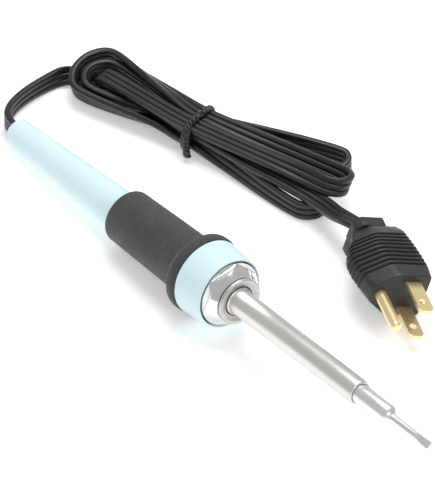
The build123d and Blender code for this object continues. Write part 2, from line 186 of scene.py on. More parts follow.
def box_block(name, low, high):
    """A box between two corners, in millimetres."""
    bpy.ops.object.select_all(action="DESELECT")
    middle = (Vector(low) + Vector(high)) / 2 * MM
    bpy.ops.mesh.primitive_cube_add(size=1.0, location=middle, scale=(Vector(high) - Vector(low)) * MM)
    obj = bpy.context.object
    obj.name = name
    bpy.ops.object.transform_apply(location=True, rotation=True, scale=True)
    return obj


def rod_block(name, x0, x1, radius, sides=48, axis="X", at=(0, 0)):
    """A round or many-sided bar along X or Z, in millimetres."""
    bpy.ops.object.select_all(action="DESELECT")
    middle = (x0 + x1) / 2
    spot = (middle, *at) if axis == "X" else (*at, middle)
    turn = (0, math.pi / 2, 0) if axis == "X" else (0, 0, 0)
    bpy.ops.mesh.primitive_cylinder_add(vertices=sides, radius=radius * MM, depth=(x1 - x0) * MM,
                                        location=Vector(spot) * MM, rotation=turn)
    obj = bpy.context.object
    obj.name = name
    bpy.ops.object.transform_apply(location=True, rotation=True, scale=True)
    return obj


def turn_about_x(obj, degrees):
    only(obj)
    obj.matrix_world = Matrix.Rotation(math.radians(degrees), 4, "X") @ obj.matrix_world
    bpy.ops.object.transform_apply(location=True, rotation=True, scale=True)


# ---------------------------------------------------------------- the cord's route
# Each entry is a point and the way the cord's width lies there: degrees up from level, across the hank.
LEAD_ROUTE = [
    ((-132.36, 0.0, 6.09), 90), ((-139.2, 0.2, 5.6), 90), ((-145.0, 5.6, 5.1), 90),
    ((-148.6, 14.8, 4.7), 88), ((-150.4, 26.4, 4.1), 74), ((-150.6, 38.6, 3.6), 25),
]
ENTRY_RUN = [((-58, 2.0, 1.6), 3), ((-44, 2.2, 1.4), 0), ((-30, 1.6, 1.4), 0), ((-17, 0.4, 2.0), 0)]
EXIT_RUN = [
    ((16, -4.2, 8.3), 0), ((30, -5.0, 8.4), 0), ((45, -5.4, 9.0), 0), ((59, -6.4, 9.4), 0),
    ((69, -8.0, 9.8), 0), ((76, -10.8, 11.0), -8),
]
PLUG_RUN = [((-3.8, 66.6, 13.8), -12), ((3.513, 67.647, 14.454), -18)]

# where the seven passes lie inside the tie: (t, z), four rows high
ROW_HEIGHT, COLUMN = 2.8, 3.95
ROWS = [2.7 + i * ROW_HEIGHT for i in range(4)]
SLOTS = {
    "bottom": (0.0, ROWS[0]), "far_low": (COLUMN, ROWS[1]), "near_low": (-COLUMN, ROWS[1]),
    "far_mid": (COLUMN, ROWS[2]), "near_mid": (-COLUMN, ROWS[2]),
    "far_top": (COLUMN, ROWS[3]), "near_top": (-COLUMN, ROWS[3]),
}
# the loops: where the turn begins and ends along the hank, its two strands' (t, z), how the width
# lies in the turn, and how soon each strand takes that lie
TURNS = {
    "right_far": dict(begin=53.5, end=59, a=(14.0, 4.6), b=(23.5, 4.6), lie=90, ease_a=3.0, ease_b=0.35),
    "right_top": dict(begin=62.5, end=70, a=(9.5, 9.6), b=(-3.0, 12.0), lie=50, ease_a=0.8, ease_b=5.0),
    "right_near": dict(begin=55.5, end=64.5, a=(2.5, 4.4), b=(-11.5, 4.6), lie=85, ease_a=2.0, ease_b=0.3),
    "left_outer": dict(begin=-50, end=-60.5, a=(-9.3, 5.2), b=(14.2, 8.2), lie=-72, ease_a=0.4, ease_b=1.0),
    "left_fold": dict(begin=-44.5, end=-47.6, a=(-0.4, 10.8), b=(-0.4, 5.6), lie=0, ease_a=1.0, ease_b=1.0),
    "left_inner": dict(begin=-47, end=-56, a=(11.2, 5.2), b=(-6.2, 5.0), lie=-84, ease_a=0.3, ease_b=0.8),
}
PASSES = [
    (None, "bottom", ("right_far", "a")),
    (("right_far", "b"), "far_mid", ("left_inner", "a")),
    (("left_inner", "b"), "far_low", ("right_near", "a")),
    (("right_near", "b"), "near_low", ("left_outer", "a")),
    (("left_outer", "b"), "far_top", ("right_top", "a")),
    (("right_top", "b"), "near_top", ("left_fold", "a")),
    (("left_fold", "b"), "near_mid", None),
]
TIE_HALF = 4.5
STRAND_SHARES = (0.0, 0.2, 0.45, 0.72, 1.0)
TURN_ANGLES = (-58, -20, 20, 58)
TURN_BULGE = 1.1


def strand(slot, turn, end):
    """Points from the tie out to a turn, with the lie of the width at each."""
    loop = TURNS[turn]
    (t, z), ease = loop[end], loop["ease_" + end]
    slot_t, slot_z = SLOTS[slot]
    side = math.copysign(1, loop["begin"])
    out = []
    for share in STRAND_SHARES:
        smooth = share * share * (3 - 2 * share)
        s = side * TIE_HALF + share * (loop["begin"] - side * TIE_HALF)
        across = slot_t + (t - slot_t) * (0.6 * share + 0.4 * smooth)
        out.append(((s, across, slot_z + (z - slot_z) * smooth), loop["lie"] * share**ease))
    return out


def turn_points(turn, first):
    """Points round a turn, from strand first to the other."""
    loop = TURNS[turn]
    (t1, z1), (t2, z2) = loop[first], loop["b" if first == "a" else "a"]
    out = []
    for degrees in TURN_ANGLES:
        angle = math.radians(degrees)
        reach, swing = TURN_BULGE * math.cos(angle), TURN_BULGE * math.sin(angle)
        s = loop["begin"] + (loop["end"] - loop["begin"]) * reach
        out.append(((s, (t1 + t2) / 2 + (t2 - t1) / 2 * swing, (z1 + z2) / 2 + (z2 - z1) / 2 * swing),
                    loop["lie"]))
    return out


def hank_run():
    run = list(ENTRY_RUN)
    for arrive, slot, leave in PASSES:
        if arrive:
            run += strand(slot, *arrive)[::-1]
        else:
            run.append(((-TIE_HALF, *SLOTS[slot]), 0))
        if leave:
            run += strand(slot, *leave) + turn_points(*leave)
        else:
            run.append(((TIE_HALF, *SLOTS[slot]), 0))
    return run + EXIT_RUN


def cord_route():
    """Control points, the width's direction at each, and how free each is to shift, in millimetres."""
    place_mm = HANK_PLACE.copy()
    place_mm.translation = Vector((*HANK_AT, 0))
    level, up = Vector((*(HANK_PLACE.to_3x3() @ Vector((0, 1, 0))).xy, 0)), Vector((0, 0, 1))
    points, widths, free = [], [], []
    runs = ((LEAD_ROUTE, Matrix(), 0.0), (hank_run(), place_mm, 1.0), (PLUG_RUN, Matrix(), 0.0))
    for run, matrix, loose in runs:
        for point, degrees in run:
            width = level * math.cos(math.radians(degrees)) + up * math.sin(math.radians(degrees))
            if widths and width.dot(Vector(widths[-1])) < 0:
                width.negate()
            points.append(matrix @ Vector(point))
            widths.append(width)
            free.append(loose)
    return np.array(points), np.array(widths), np.array(free)


def spline_weights(count, per_span):
    """How much each control point of a clamped order-3 spline weighs at each sample."""
    spans = count - 2
    knots = np.concatenate([[0, 0], np.arange(spans + 1), [spans, spans]]).astype(float)
    samples = np.linspace(0, spans, spans * per_span + 1)
    samples[-1] -= 1e-9
    weights = np.array([(samples >= a) & (samples < b) for a, b in zip(knots, knots[1:])], float).T
    for degree in (1, 2):
        lower = weights
        weights = np.zeros((len(samples), lower.shape[1] - 1))
        for i in range(weights.shape[1]):
            rise, fall = knots[i + degree] - knots[i], knots[i + degree + 1] - knots[i + 1]
            if rise > 0:
                weights[:, i] += (samples - knots[i]) / rise * lower[:, i]
            if fall > 0:
                weights[:, i] += (knots[i + degree + 1] - samples) / fall * lower[:, i + 1]
    return weights


def across_path(line, width):
    """Unit width directions square to the line, and the line's own directions."""
    along = np.gradient(line, axis=0)
    along /= np.linalg.norm(along, axis=1)[:, None]
    width = width - (width * along).sum(1)[:, None] * along
    return width / np.linalg.norm(width, axis=1)[:, None], along


SETTLE_STEPS = 60
SAME_STRETCH = 22.0       # strands nearer than this along the cord are the same stretch
PUSH_GAIN = 1.5           # a step against the average push of a point's hits
FLOOR_PUSH = 0.6          # share of each core's dip into the floor that a step adds
STEP_GAIN = 1.4
DRIFT_SMOOTHING = 0.25    # evens out the shifts of neighbouring points


def settle(points, widths, free):
    """Shifts the route's points, in a set number of steps, to ease strands off each other and the floor."""
    weights = spline_weights(len(points), 4)
    start, share = points.copy(), weights.sum(0)
    for _ in range(SETTLE_STEPS):
        line = weights @ points
        width, _along = across_path(line, weights @ widths)
        length = np.concatenate([[0], np.cumsum(np.linalg.norm(np.diff(line, axis=0), axis=1))])
        apart = np.abs(length[:, None] - length[None, :]) > SAME_STRETCH
        cores = [line + i * CORE_PITCH * width for i in (-1, 0, 1)]
        shift, hits = np.zeros_like(line), np.zeros(len(line))
        for core in cores:
            for other in cores:
                gap = core[:, None, :] - other[None, :, :]
                reach = np.linalg.norm(gap, axis=2)
                overlap = np.clip(np.where(apart, CORD_THICK - reach, 0), 0, None)
                worst = overlap.argmax(1)
                rows = np.arange(len(line))
                push = 0.5 * overlap[rows, worst] / np.maximum(reach[rows, worst], 1e-6)
                shift += gap[rows, worst] * push[:, None]
                hits += push > 0
        shift *= PUSH_GAIN / np.maximum(hits, 1)[:, None]
        for core in cores:
            shift[:, 2] += FLOOR_PUSH * np.clip(CORD_THICK / 2 - core[:, 2], 0, None)
        move = (weights.T @ shift) / share[:, None]
        move[1:-1] = 0.5 * move[1:-1] + 0.25 * (move[:-2] + move[2:])
        points = points + STEP_GAIN * move * free[:, None]
        drift = points - start
        uneven = 0.5 * (drift[:-2] + drift[2:]) - drift[1:-1]
        points[1:-1] += DRIFT_SMOOTHING * free[1:-1, None] * uneven
    line = weights @ points
    width, _along = across_path(line, weights @ widths)
    lowest = (line[:, 2] - CORE_PITCH * np.abs(width[:, 2])).min() - CORD_THICK / 2
    points[:, 2] += max(0.0, -lowest) * free
    return points


def nurbs_points(name, points):
    """Points read along one smooth curve with these control points."""
    data = bpy.data.curves.new(name, "CURVE")
    data.dimensions = "3D"
    data.resolution_u = 8
    spline = data.splines.new("NURBS")
    spline.points.add(len(points) - 1)
    for spot, point in zip(spline.points, points):
        spot.co = (*(point * MM), 1)
    spline.order_u = 3
    spline.use_endpoint_u = True
    obj = bpy.data.objects.new(name, data)
    bpy.context.scene.collection.objects.link(obj)
    mesh = bpy.data.meshes.new_from_object(obj)
    line = np.array([vertex.co[:] for vertex in mesh.vertices])
    bpy.data.objects.remove(obj)
    return line


CORE_SQUARENESS = 0.6         # below 1, each core's top and bottom are flatter than a circle's
GROOVE_SHARE = 0.4            # the cord's half thickness in the grooves, against its cores'


def cord_section():
    """Outline of the flat cord: three flattened cores side by side, narrow grooves between, (across, up)."""
    radius = CORD_THICK / 2
    meet = math.asin(GROOVE_SHARE**(1 / CORE_SQUARENESS))
    top = []
    for core in (-1, 0, 1):
        first = math.pi if core == -1 else math.pi - meet
        last = 0 if core == 1 else meet
        for i in range(9):
            angle = first + (last - first) * i / 8
            c, n = math.cos(angle), math.sin(angle)
            outer = core * c > 0
            reach = (radius if outer else CORE_PITCH / 2) * math.copysign(abs(c)**CORE_SQUARENESS, c)
            top.append((core * CORE_PITCH + reach, radius * abs(n)**CORE_SQUARENESS))
    return np.array(top + [(x, -y) for x, y in top[-2:0:-1]]) * MM


def make_cord():
    points, widths, free = cord_route()
    points = settle(points, widths, free)
    line = nurbs_points("cord_line", points)
    edge = nurbs_points("cord_edge", points + widths)
    width, along = across_path(line, edge - line)
    up = np.cross(width, along)
    section = cord_section()
    sideways = section[None, :, :1] * width[:, None, :]
    upwards = section[None, :, 1:] * up[:, None, :]
    rings = line[:, None, :] + sideways + upwards
    count, sides = len(line), len(section)
    faces = []
    for i in range(count - 1):
        for j in range(sides):
            k = (j + 1) % sides
            faces.append((i * sides + j, i * sides + k, (i + 1) * sides + k, (i + 1) * sides + j))
    faces += [tuple(range(sides))[::-1], tuple(range((count - 1) * sides, count * sides))]
    mesh = bpy.data.meshes.new("power_cord")
    mesh.from_pydata(rings.reshape(-1, 3).tolist(), [], faces)
    cord = bpy.data.objects.new("power_cord", mesh)
    bpy.context.scene.collection.objects.link(cord)
    only(cord)
    bpy.ops.object.mode_set(mode="EDIT")
    bpy.ops.mesh.select_all(action="SELECT")
    bpy.ops.mesh.normals_make_consistent(inside=False)
    bpy.ops.object.mode_set(mode="OBJECT")
    bpy.ops.object.shade_smooth_by_angle(angle=math.radians(50))
    return cord, line


cord, cord_line = make_cord()


# ---------------------------------------------------------------- twist tie
TIE_WIRE_R = 0.85
TIE_OVAL = (9.3, 6.6)         # half width and half height of the loop
TIE_CENTRE_Z = 8.2
TIE_TWIST_R = 0.72            # how far each wire winds from the pair's middle
TIE_SQUARENESS = 0.7          # below 1, the loop is squarer than an oval
TIE_LOOP_WINDS, TIE_TAIL_WINDS = 14, 4
TIE_TAIL_FROM = (0.6, -7.4, 13.6)     # where the twisted ends leave the loop
TIE_TAIL_RUN = (2.2, -3.6, -10.4)     # and how far they go from there
TIE_TAIL_SWING = 0.9
CURL_CENTRE, CURL_R, CURL_ANGLES = (2.8, -11.0, 3.4), 1.3, (0.4, 1.5, 2.7, 3.9, 5.1, 6.2)


def wire_piece(name, strands, radius):
    """One mesh from round wires that follow the strands, in the hank's frame."""
    data = bpy.data.curves.new(name, "CURVE")
    data.dimensions = "3D"
    data.resolution_u = 4
    data.bevel_depth = radius * MM
    data.bevel_resolution = 3
    data.use_fill_caps = True
    for points, closed in strands:
        spline = data.splines.new("NURBS")
        spline.points.add(len(points) - 1)
        for spot, point in zip(spline.points, points):
            spot.co = (*(Vector(point) * MM), 1)
        spline.order_u = 3
        spline.use_cyclic_u = closed
        spline.use_endpoint_u = not closed
    obj = bpy.data.objects.new(name, data)
    bpy.context.scene.collection.objects.link(obj)
    only(obj)
    bpy.ops.object.convert(target="MESH")
    return place(bpy.context.object, HANK_PLACE, 60)


def tie_loop(phase):
    """One of the two wires wound round each other and round the hank."""
    ring, count = [], 96
    for i in range(count):
        angle = 2 * math.pi * i / count
        wind = TIE_LOOP_WINDS * angle + phase
        c, n = math.cos(angle), math.sin(angle)
        out = TIE_TWIST_R * math.cos(wind)
        t = (TIE_OVAL[0] + out) * math.copysign(abs(c)**TIE_SQUARENESS, c)
        z = TIE_CENTRE_Z + (TIE_OVAL[1] + out) * math.copysign(abs(n)**TIE_SQUARENESS, n)
        ring.append((TIE_TWIST_R * math.sin(wind) + 0.5 * math.sin(angle), t, z))
    return ring


def tie_tail(phase):
    """One of the tie's two ends, twisted together and bent down the near side."""
    run, count = [], 33
    for i in range(count):
        share = i / (count - 1)
        wind = phase + 2 * math.pi * TIE_TAIL_WINDS * share
        gone = (share, math.sin(share * math.pi / 2), share**1.3)
        middle = Vector([a + b * c for a, b, c in zip(TIE_TAIL_FROM, TIE_TAIL_RUN, gone)])
        swing = Vector((math.cos(wind), 0.5 * math.sin(wind), 0.7 * math.sin(wind))) * TIE_TAIL_SWING
        run.append(tuple(middle + swing))
    return run


def make_tie():
    strands = [(tie_loop(phase), True) for phase in (0, math.pi)]
    strands += [(tie_tail(phase), False) for phase in (0, math.pi)]
    s, t, z = CURL_CENTRE
    curl = [(s + CURL_R * math.cos(a), t, z + CURL_R * math.sin(a)) for a in CURL_ANGLES]
    strands.append((curl, False))
    return wire_piece("twist_tie", strands, TIE_WIRE_R)


tie = make_tie()


# ---------------------------------------------------------------- handle, grip and nut
COLLAR_FLOOR, THREAD_SEAT_START, TAIL_BORE_START = 131.0, 126.0, 9.0
CORE_BORE_R, TAIL_BORE_R = 6.7, 4.5
SLOT_PLAY = 0.15              # room round the cord in the tail's slot


def arc(x, r, size, first, last, count=5):
    """Points of a quarter round in an outline: centre, radius, and its first and last angle."""
    angles = [math.radians(first + (last - first) * i / (count - 1)) for i in range(count)]
    return [(x + size * math.cos(a), r + size * math.sin(a)) for a in angles]


def make_handle():
    lip, rear = 0.5, 1.8
    handle = turned("handle_shell", [
        (0, 0), *arc(rear, TAIL_R - rear, rear, 180, 92, 6), (GRIP_START, HANDLE_FRONT_R),
        (GRIP_START, CORE_R - 0.1), (COLLAR_START, CORE_R - 0.1), (COLLAR_START, COLLAR_REAR_R - 0.7),
        *arc(COLLAR_START + 0.7, COLLAR_REAR_R - 0.7, 0.7, 180, 92), (COLLAR_END - lip, COLLAR_FRONT_R),
        *arc(COLLAR_END - lip, COLLAR_FRONT_R - lip, lip, 88, 0), (COLLAR_END, COLLAR_BORE_R + 0.2),
        (COLLAR_END - 0.3, COLLAR_BORE_R), (COLLAR_FLOOR, COLLAR_BORE_R), (COLLAR_FLOOR, THREAD_R + 2.5),
        (COLLAR_FLOOR, THREAD_R + 0.05), (THREAD_SEAT_START, THREAD_R + 0.05),
        (THREAD_SEAT_START, CORE_BORE_R + 0.1), (GRIP_START, CORE_BORE_R),
        (TAIL_BORE_START, TAIL_BORE_R), (TAIL_BORE_START, 0)])
    half_thick, half_width = CORD_THICK / 2 + SLOT_PLAY, CORD_WIDTH / 2 + SLOT_PLAY
    slot = box_block("slot", (-2, -half_thick, -half_width), (TAIL_BORE_START + 3, half_thick, half_width))
    cut(handle, slot)
    return place(handle, IRON_PLACE, 30)


def make_grip():
    edge = 1.4
    grip = turned("foam_sleeve", [
        (GRIP_START, CORE_R), (GRIP_START, GRIP_REAR_R - edge),
        *arc(GRIP_START + edge, GRIP_REAR_R - edge, edge, 176, 94, 6),
        (96.0, (GRIP_REAR_R + GRIP_FRONT_R) / 2 + 0.05), (FLANGE_START - 3.2, GRIP_FRONT_R),
        (FLANGE_START - 1.6, GRIP_FRONT_R + 0.45), (FLANGE_START - 0.7, GRIP_FRONT_R + 1.5),
        (FLANGE_START - 0.1, FLANGE_R - 2.4), (FLANGE_START + 0.6, FLANGE_R - 0.95),
        (FLANGE_START + 1.5, FLANGE_R - 0.25), (FLANGE_START + 2.6, FLANGE_R), (COLLAR_START - 1.7, FLANGE_R),
        (COLLAR_START - 0.7, FLANGE_R - 0.35), (COLLAR_START - 0.15, FLANGE_R - 1.0),
        (COLLAR_START, FLANGE_R - 1.6), (COLLAR_START, CORE_R)], steps=128)
    return place(close_profile(grip), IRON_PLACE, 50)


def close_profile(obj):
    """Bridges the first and last rings of a turned ring-shaped piece."""
    only(obj)
    bpy.ops.object.mode_set(mode="EDIT")
    bpy.ops.mesh.select_all(action="DESELECT")
    bpy.ops.mesh.select_mode(type="EDGE")
    bpy.ops.mesh.select_non_manifold(extend=False)
    bpy.ops.mesh.bridge_edge_loops()
    bpy.ops.mesh.select_all(action="SELECT")
    bpy.ops.mesh.normals_make_consistent(inside=False)
    bpy.ops.object.mode_set(mode="OBJECT")
    return obj


NUT_REAR, NUT_WALL_REAR = 132.6, 139.0
NUT_FACET_TURN = 12           # degrees about the iron's axis, from a facet facing up


def make_nut():
    cone_start = COLLAR_END + 0.3
    nut = close_profile(turned("nut_cone", [
        (NUT_REAR, THREAD_R + 0.15), (NUT_REAR, NUT_R), (cone_start, NUT_R), (NUT_FRONT, NUT_CONE_R),
        (NUT_FRONT, NUT_HOLE_R), (NUT_WALL_REAR, NUT_HOLE_R), (NUT_WALL_REAR, THREAD_R + 0.15)]))
    prism = rod_block("prism", cone_start, cone_start + 12, NUT_R + 0.25, sides=6)
    turn_about_x(prism, NUT_FACET_TURN)
    skirt = rod_block("skirt", NUT_REAR - 5, cone_start + 0.01, NUT_R + 1)
    cut(prism, skirt, "UNION")
    cut(nut, prism, "INTERSECT")
    round_edges(nut, 0.22, 3, 14)
    return place(nut, IRON_PLACE, 25)


def make_ring():
    ring = close_profile(turned("nut_face_ring", [
        (NUT_FRONT + 0.02, RING_HOLE_R), (NUT_FRONT + 0.02, RING_R - 1.2), (NUT_FRONT + 0.32, RING_R - 1.2),
        (NUT_FRONT + 0.34, RING_R - 0.12), (NUT_FRONT + 0.46, RING_R),
        *arc(RING_FRONT - 0.55, RING_R - 0.55, 0.55, 90, 0), (RING_FRONT, DISH_R + 0.1),
        (RING_FRONT - 0.12, DISH_R - 0.1), (DISH_X, RING_HOLE_R)], steps=128))
    return place(ring, IRON_PLACE, 40)


BARREL_REAR, BARREL_RINGS = 137.2, (170.0, 196.0)
FERRULE_REAR, FERRULE_ROUND, FERRULE_FRONT = 140.0, 145.6, 146.2


def make_barrel():
    bore, mouth = BARREL_R - BARREL_WALL, BARREL_FRONT - 1.0
    barrel = close_profile(turned("barrel_tube", [
        (BARREL_REAR, bore), (BARREL_REAR, BARREL_FLANGE_R), (NUT_WALL_REAR - 0.3, BARREL_FLANGE_R),
        (NUT_WALL_REAR - 0.3, FERRULE_SEAT_R), (RING_FRONT, FERRULE_SEAT_R), (RING_FRONT + 0.3, BARREL_R),
        *[(x, BARREL_R) for x in BARREL_RINGS], *arc(BARREL_FRONT - 0.8, BARREL_R - 0.8, 0.8, 90, 8, 6),
        (BARREL_FRONT, BARREL_LIP_R + 0.1), (BARREL_FRONT - 0.1, BARREL_LIP_R), (mouth, BARREL_LIP_R),
        (mouth, bore)]))
    return place(barrel, IRON_PLACE, 35)


def make_ferrule():
    ferrule = close_profile(turned("barrel_bead", [
        (FERRULE_REAR, FERRULE_SEAT_R + 0.02), (FERRULE_REAR, FERRULE_R), (FERRULE_ROUND - 0.3, FERRULE_R),
        *arc(FERRULE_ROUND, FERRULE_R - 0.4, 0.4, 90, 10), (FERRULE_FRONT, FERRULE_SEAT_R + 0.02)]))
    return place(ferrule, IRON_PLACE, 35)


TIP_REAR, TIP_STOP_REAR, TIP_STOP_FRONT = 203.0, 219.6, 221.5
TIP_SHANK_R, TIP_STOP_R = 3.1, 4.55


def make_tip():
    dome = 2.6
    tip = turned("tip_body", [
        (TIP_REAR, 0), (TIP_REAR, TIP_SHANK_R - 0.2), (TIP_REAR + 0.2, TIP_SHANK_R),
        (TIP_STOP_REAR, TIP_SHANK_R), (TIP_STOP_REAR, TIP_STOP_R), (TIP_STOP_FRONT, TIP_STOP_R),
        (TIP_STOP_FRONT, TIP_R),
        (TIP_SHOULDER - dome, TIP_R), (TIP_SHOULDER - 0.72 * dome, TIP_R - 0.18),
        (TIP_SHOULDER - 0.45 * dome, TIP_R - 0.62), (TIP_SHOULDER - 0.2 * dome, TIP_R - 1.25),
        (TIP_SHOULDER - 0.02 * dome, TIP_NECK_R + 0.45), (TIP_SHOULDER + 0.5, TIP_NECK_R + 0.12),
        (TIP_SHOULDER + 1.2, TIP_NECK_R), (TIP_END - 0.15, TIP_NECK_R), (TIP_END, TIP_NECK_R - 0.15),
        (TIP_END, 0)])
    flat_length = TIP_END - TIP_FLAT_START
    slope = math.atan((TIP_NECK_R - TIP_BLADE_THICK / 2) / flat_length)
    for side in (1, -1):
        cutter = box_block("cutter", (0, -6, 0), (40, 6, 10))
        if side < 0:
            turn_about_x(cutter, 180)
        only(cutter)
        hinge = Matrix.Translation(Vector((TIP_FLAT_START, 0, side * TIP_NECK_R)) * MM)
        cutter.matrix_world = (Matrix.Rotation(math.radians(TIP_TURN), 4, "X") @ hinge
                               @ Matrix.Rotation(side * slope, 4, "Y"))
        bpy.ops.object.transform_apply(location=True, rotation=True, scale=True)
        cut(tip, cutter)
    dimple = rod_block("dimple", TIP_R - 0.8, TIP_R + 1, 0.5, sides=24, axis="Z", at=(DIMPLE_X, 0))
    turn_about_x(dimple, DIMPLE_TURN)
    cut(tip, dimple)
    return place(tip, IRON_PLACE, 30)


# ---------------------------------------------------------------- plug
# sections of the moulding: distance behind the face, nose and back in y, half height; up to
# 1.5 mm off the CAD solid's, mostly fuller
PLUG_SECTIONS = [(0.0, -16.2, 7.4, 10.1), (8.0, -18.2, 8.4, 10.0), (14.0, -19.3, 8.0, 9.9),
                 (20.0, -19.4, 7.4, 9.7), (26.0, -17.3, 7.0, 8.9), (31.0, -14.2, 6.7, 7.9),
                 (37.0, -12.0, 6.1, 5.3)]
BEND_SHARE, NOSE_SHARE = 0.62, 0.34
GROOVE_START, GROOVE_PITCH, GROOVE_COUNT, GROOVE_DEPTH = 7.3, 2.5, 9, 1.5
# one groove and the land behind it: share of the pitch, share of the depth
GROOVE_SHAPE = ((0.0, 0.55), (0.12, 0.97), (0.2, 1.0), (0.28, 0.97), (0.4, 0.55), (0.52, 0.08),
                (0.62, 0.0), (0.78, 0.0), (0.88, 0.08))


def plug_size(x, inset):
    """Nose, back and half height of the moulding, x millimetres behind its face."""
    for low, high in zip(PLUG_SECTIONS, PLUG_SECTIONS[1:]):
        if x <= high[0]:
            share = (x - low[0]) / (high[0] - low[0])
            nose, back, half = (a + (b - a) * share for a, b in zip(low[1:], high[1:]))
            return nose + inset, back - inset, half - inset


def plug_stations():
    """(distance behind the face, inset) down the moulding, with its finger grooves."""
    steps = [(0.0, 0.35), (0.35, 0.06), (0.9, 0.0), (4.0, 0.0), (GROOVE_START - 0.25, 0.0)]
    for i in range(GROOVE_COUNT):
        x = GROOVE_START + i * GROOVE_PITCH
        for share, inset in GROOVE_SHAPE:
            steps.append((x + share * GROOVE_PITCH, inset * GROOVE_DEPTH))
    return steps + [(31.0, 0.0), (34.0, 0.0), (36.4, 0.05), (36.8, 0.25), (PLUG_BODY_LENGTH, 0.6)]


def outline_block(name, x, outline, corner):
    """A flat face across X with rounded corners, left in edit mode and selected, to be extruded."""
    points = [Vector((x, y, z)) * MM for y, z in outline]
    obj = start_point(name, points[0])
    draw_line(points)
    bpy.ops.mesh.select_all(action="SELECT")
    bpy.ops.mesh.edge_face_add()
    bpy.ops.mesh.bevel(offset=corner * MM, segments=4, affect="VERTICES")
    bpy.ops.mesh.select_all(action="SELECT")
    return obj


def close_block(obj):
    bpy.ops.mesh.select_all(action="SELECT")
    bpy.ops.mesh.normals_make_consistent(inside=False)
    bpy.ops.object.mode_set(mode="OBJECT")
    return obj


def make_plug_body():
    stations = [(x, *plug_size(x, inset)) for x, inset in plug_stations()]
    x, nose, back, half = stations[0]
    bend, flat = back + BEND_SHARE * (nose - back), NOSE_SHARE * half
    plug = outline_block("plug_moulding", -x, [(back, -half), (back, half), (bend, half), (nose, flat),
                                               (nose, -flat), (bend, -half)], 1.6)
    for (xa, nose_a, back_a, half_a), (xb, nose_b, back_b, half_b) in zip(stations, stations[1:]):
        wider = (back_b - nose_b) / (back_a - nose_a)
        bpy.ops.mesh.extrude_region_move(TRANSFORM_OT_translate={"value": ((xa - xb) * MM, 0, 0)})
        bpy.ops.transform.resize(value=(1, wider, half_b / half_a), center_override=(0, 0, 0))
        bpy.ops.transform.translate(value=(0, (nose_b - nose_a * wider) * MM, 0))
    return place(close_block(plug), PLUG_PLACE, 40)


NECK_BACK_Y, NECK_BEND_Y, NECK_NOSE_Y, NECK_HALF, NECK_NOSE_Z = 1.6, -8.4, -11.2, 5.4, 2.6
ENTRY_HALF_WIDTH, ENTRY_HALF_HEIGHT = 4.1, 1.6
FIN_NOSE_Y, FIN_BACK_Y, FIN_LOWEST_Z = -10.8, -8.8, -11.2


def make_plug_neck():
    """Block behind the grooves, where the cord goes in, with one slanting corner."""
    neck = outline_block("plug_neck", -PLUG_LENGTH, [
        (NECK_BACK_Y, -NECK_HALF), (NECK_BACK_Y, NECK_HALF), (NECK_BEND_Y, NECK_HALF),
        (NECK_NOSE_Y, NECK_NOSE_Z), (NECK_NOSE_Y, -NECK_HALF)], 0.7)
    bpy.ops.mesh.extrude_region_move(
        TRANSFORM_OT_translate={"value": ((PLUG_LENGTH - PLUG_BODY_LENGTH + 0.3) * MM, 0, 0)})
    close_block(neck)
    slot = box_block("slot", (-PLUG_LENGTH - 1, CORD_ENTRY_Y - ENTRY_HALF_WIDTH, -ENTRY_HALF_HEIGHT),
                     (-PLUG_LENGTH + 2, CORD_ENTRY_Y + ENTRY_HALF_WIDTH, ENTRY_HALF_HEIGHT))
    cut(neck, slot)
    round_edges(neck, 0.5, 3, 40)
    return place(neck, PLUG_PLACE, 40)


def make_plug_fin():
    """Thin edge that hangs from the block's nose side."""
    fin = box_block("plug_fin", (-PLUG_LENGTH, FIN_NOSE_Y, FIN_LOWEST_Z),
                    (-PLUG_BODY_LENGTH - 0.2, FIN_BACK_Y, -NECK_HALF + 1.0))
    round_edges(fin, 0.45, 3, 30)
    return place(fin, PLUG_PLACE, 40)


handle, grip, nut, ring = make_handle(), make_grip(), make_nut(), make_ring()
barrel, ferrule, tip = make_barrel(), make_ferrule(), make_tip()
plug_body, plug_neck, plug_fin = make_plug_body(), make_plug_neck(), make_plug_fin()


# ---------------------------------------------------------------- materials
def new_group(name, inputs, outputs):
    group = bpy.data.node_groups.new(name, "ShaderNodeTree")
    for label, kind, value in inputs:
        socket = group.interface.new_socket(name=label, in_out="INPUT", socket_type=kind)
        if value is not None:
            socket.default_value = value
    for label, kind in outputs:
        group.interface.new_socket(name=label, in_out="OUTPUT", socket_type=kind)
    return group, group.nodes.new("NodeGroupInput"), group.nodes.new("NodeGroupOutput")


def link(tree, start, end):
    tree.links.new(start, end)


def build_mottle():
    """Slow, cloudy change over a surface, as a value between Low and High."""
    group, given, result = new_group("mottle", [
        ("Vector", "NodeSocketVector", None), ("Scale", "NodeSocketFloat", 60.0),
        ("Detail", "NodeSocketFloat", 4.0), ("Low", "NodeSocketFloat", 0.0), ("High", "NodeSocketFloat", 1.0),
    ], [("Value", "NodeSocketFloat")])
    noise = group.nodes.new("ShaderNodeTexNoise")
    spread = group.nodes.new("ShaderNodeMapRange")
    spread.inputs["From Min"].default_value = 0.3
    spread.inputs["From Max"].default_value = 0.7
    link(group, given.outputs["Vector"], noise.inputs["Vector"])
    link(group, given.outputs["Scale"], noise.inputs["Scale"])
    link(group, given.outputs["Detail"], noise.inputs["Detail"])
    link(group, noise.outputs["Fac"], spread.inputs["Value"])
    link(group, given.outputs["Low"], spread.inputs["To Min"])
    link(group, given.outputs["High"], spread.inputs["To Max"])
    link(group, spread.outputs["Result"], result.inputs["Value"])
    return group


